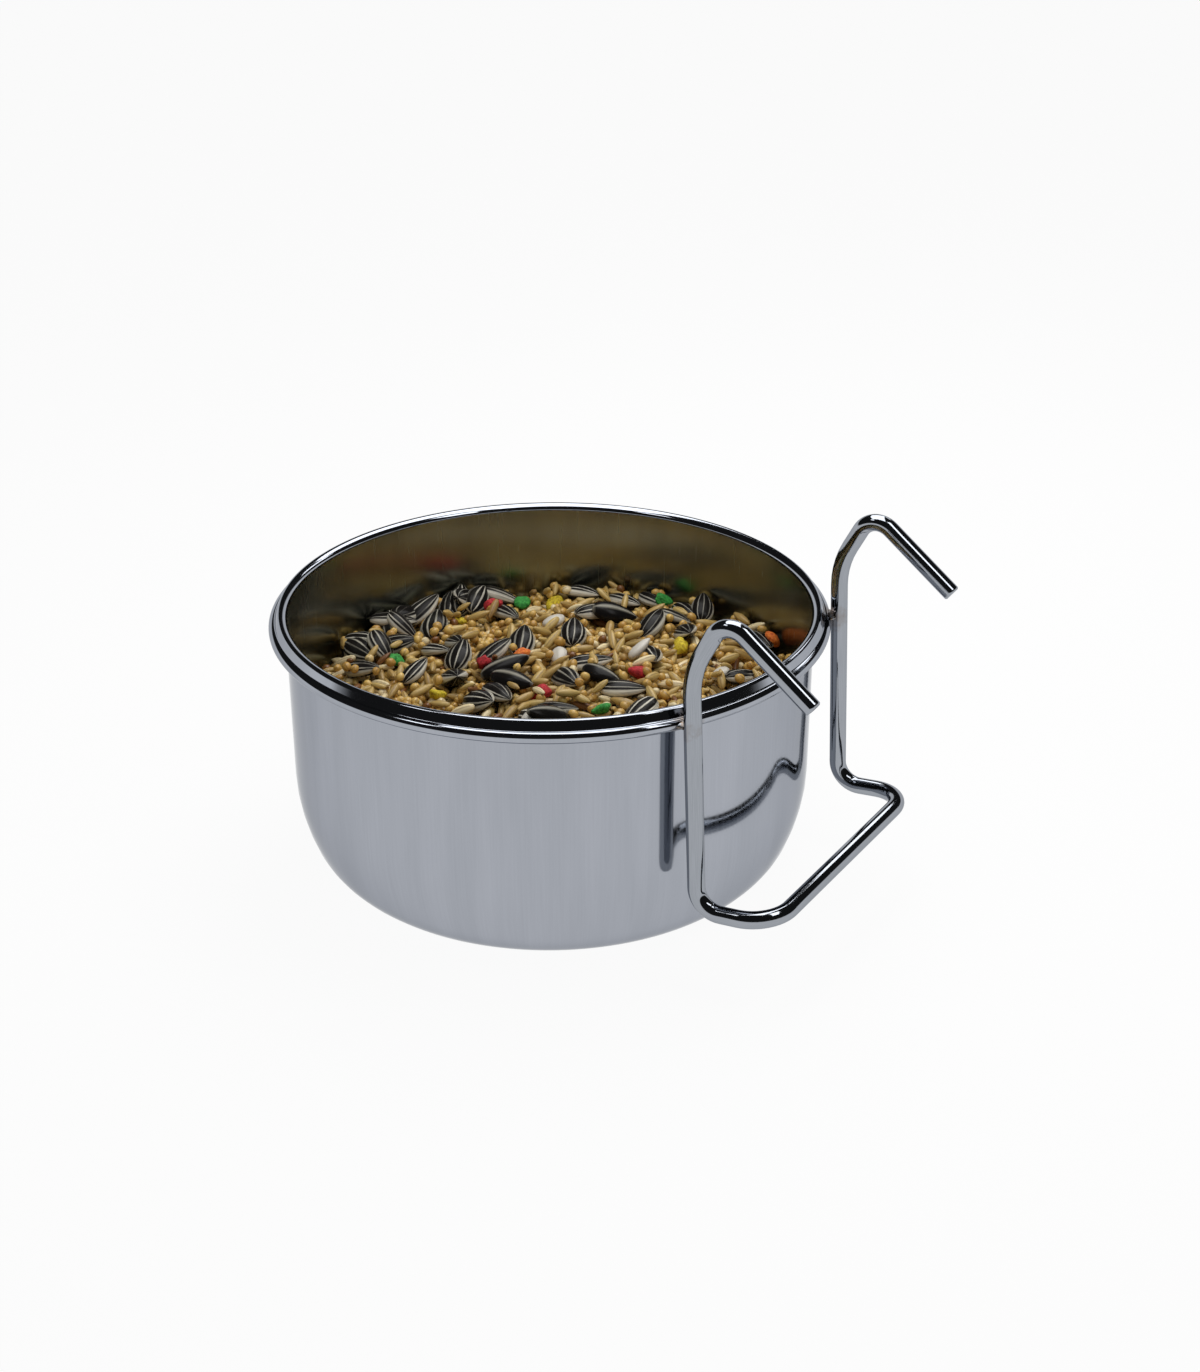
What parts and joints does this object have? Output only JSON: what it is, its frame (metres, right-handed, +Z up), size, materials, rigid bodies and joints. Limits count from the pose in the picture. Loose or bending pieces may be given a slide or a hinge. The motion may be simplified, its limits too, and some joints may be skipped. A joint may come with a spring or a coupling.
{
  "type": "seed cup with wire hanger",
  "caption": "Round drawn-steel seed cup with a rolled rim and a bent wire hanger welded to it, hooked over a cage wire, holding a mounded mix of seeds.",
  "frame": {"origin": "centre of the base's underside, on the cup's axis", "axes": "+Z up along the cup's axis, +X towards the hanger, mirror plane XZ"},
  "size_m": [0.1395, 0.12, 0.0816],
  "materials": {
    "satin_steel": "satin, fine vertical brush lines outside, brighter rim",
    "polished_wire": "bright drawn and polished wire",
    "weld_metal": "heat-tinted weld metal",
    "seed_mix": "dull mixed seed",
    "striped_hull": "dull dark hull with pale stripes along it",
    "black_hull": "dull black hull",
    "white_hull": "smooth pale hull",
    "beige_grain": "dull beige grain",
    "golden_grain": "smooth golden grain",
    "green_crumb": "rough dyed crumb",
    "red_crumb": "rough dyed crumb",
    "yellow_crumb": "rough dyed crumb",
    "orange_crumb": "rough dyed crumb"
  },
  "bodies": {
    "cup": {"bowl_shell": "satin_steel", "wire_hanger": "polished_wire", "weld_left": "weld_metal", "weld_right": "weld_metal"},
    "seed_fill": {"seed_bed": "seed_mix", "sunflower_striped": "striped_hull", "sunflower_black": "black_hull", "safflower_white": "white_hull", "oat_groats": "beige_grain", "millet_grains": "golden_grain", "pellets_green": "green_crumb", "pellets_red": "red_crumb", "pellets_yellow": "yellow_crumb", "pellets_orange": "orange_crumb"}
  },
  "joints": [
    {"name": "seed_lift", "type": "slide", "parent": "cup", "child": "seed_fill", "axis": [0, 0, 1], "range_m": [0, 0.075]}
  ]
}
